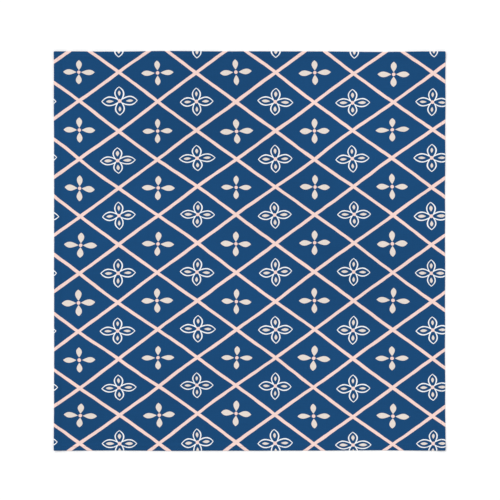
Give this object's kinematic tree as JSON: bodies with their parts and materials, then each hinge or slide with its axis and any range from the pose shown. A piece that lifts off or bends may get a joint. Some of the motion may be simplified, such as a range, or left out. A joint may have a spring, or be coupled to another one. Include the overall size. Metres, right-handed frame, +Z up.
{
  "type": "furoshiki",
  "caption": "Thin cotton wrapping cloth, nearly square, lying flat with its printed face up and its edges turned under in a narrow stitched hem.",
  "frame": {"origin": "middle of the flat underside, on the surface that the cloth lies on", "axes": "+Z up through the printed face, +X to the right and +Y to the head of the cloth as seen face on; Y is the slightly longer side"},
  "size_m": [0.5, 0.51, 0.0018],
  "materials": {
    "printed_cotton": "matte"
  },
  "bodies": {
    "root": {"cloth": "printed_cotton"}
  },
  "joints": []
}
